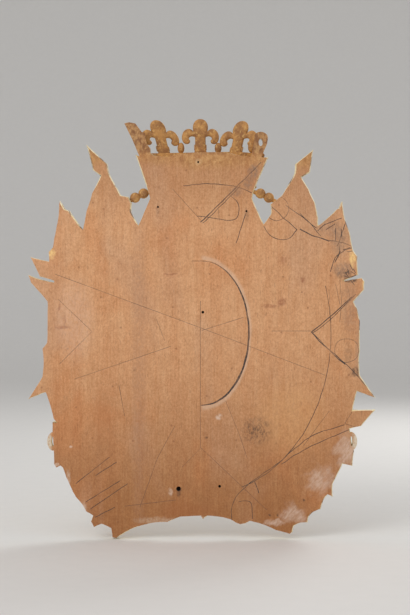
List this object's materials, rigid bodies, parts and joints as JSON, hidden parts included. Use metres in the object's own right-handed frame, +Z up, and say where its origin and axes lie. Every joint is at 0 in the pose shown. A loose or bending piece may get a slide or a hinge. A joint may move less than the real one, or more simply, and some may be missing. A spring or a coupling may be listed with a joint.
{
  "type": "carved coat of arms",
  "caption": "Carved wooden coat of arms in one piece: crowned oval shield on an eight-pointed cross with flags and spears, planed flat at the back to hang on a wall.",
  "frame": {"origin": "on the flat back face, at the centre of the design, where the back lies against a wall", "axes": "+Y out of the flat back towards the wall, -Y out of the carved front, +Z up towards the crown"},
  "size_m": [0.6616, 0.052, 0.8026],
  "materials": {
    "carved_wood": "planed bare softwood at the back, worn gilding and paint on the carved front"
  },
  "bodies": {
    "root": {"carved_panel": "carved_wood"}
  },
  "joints": []
}
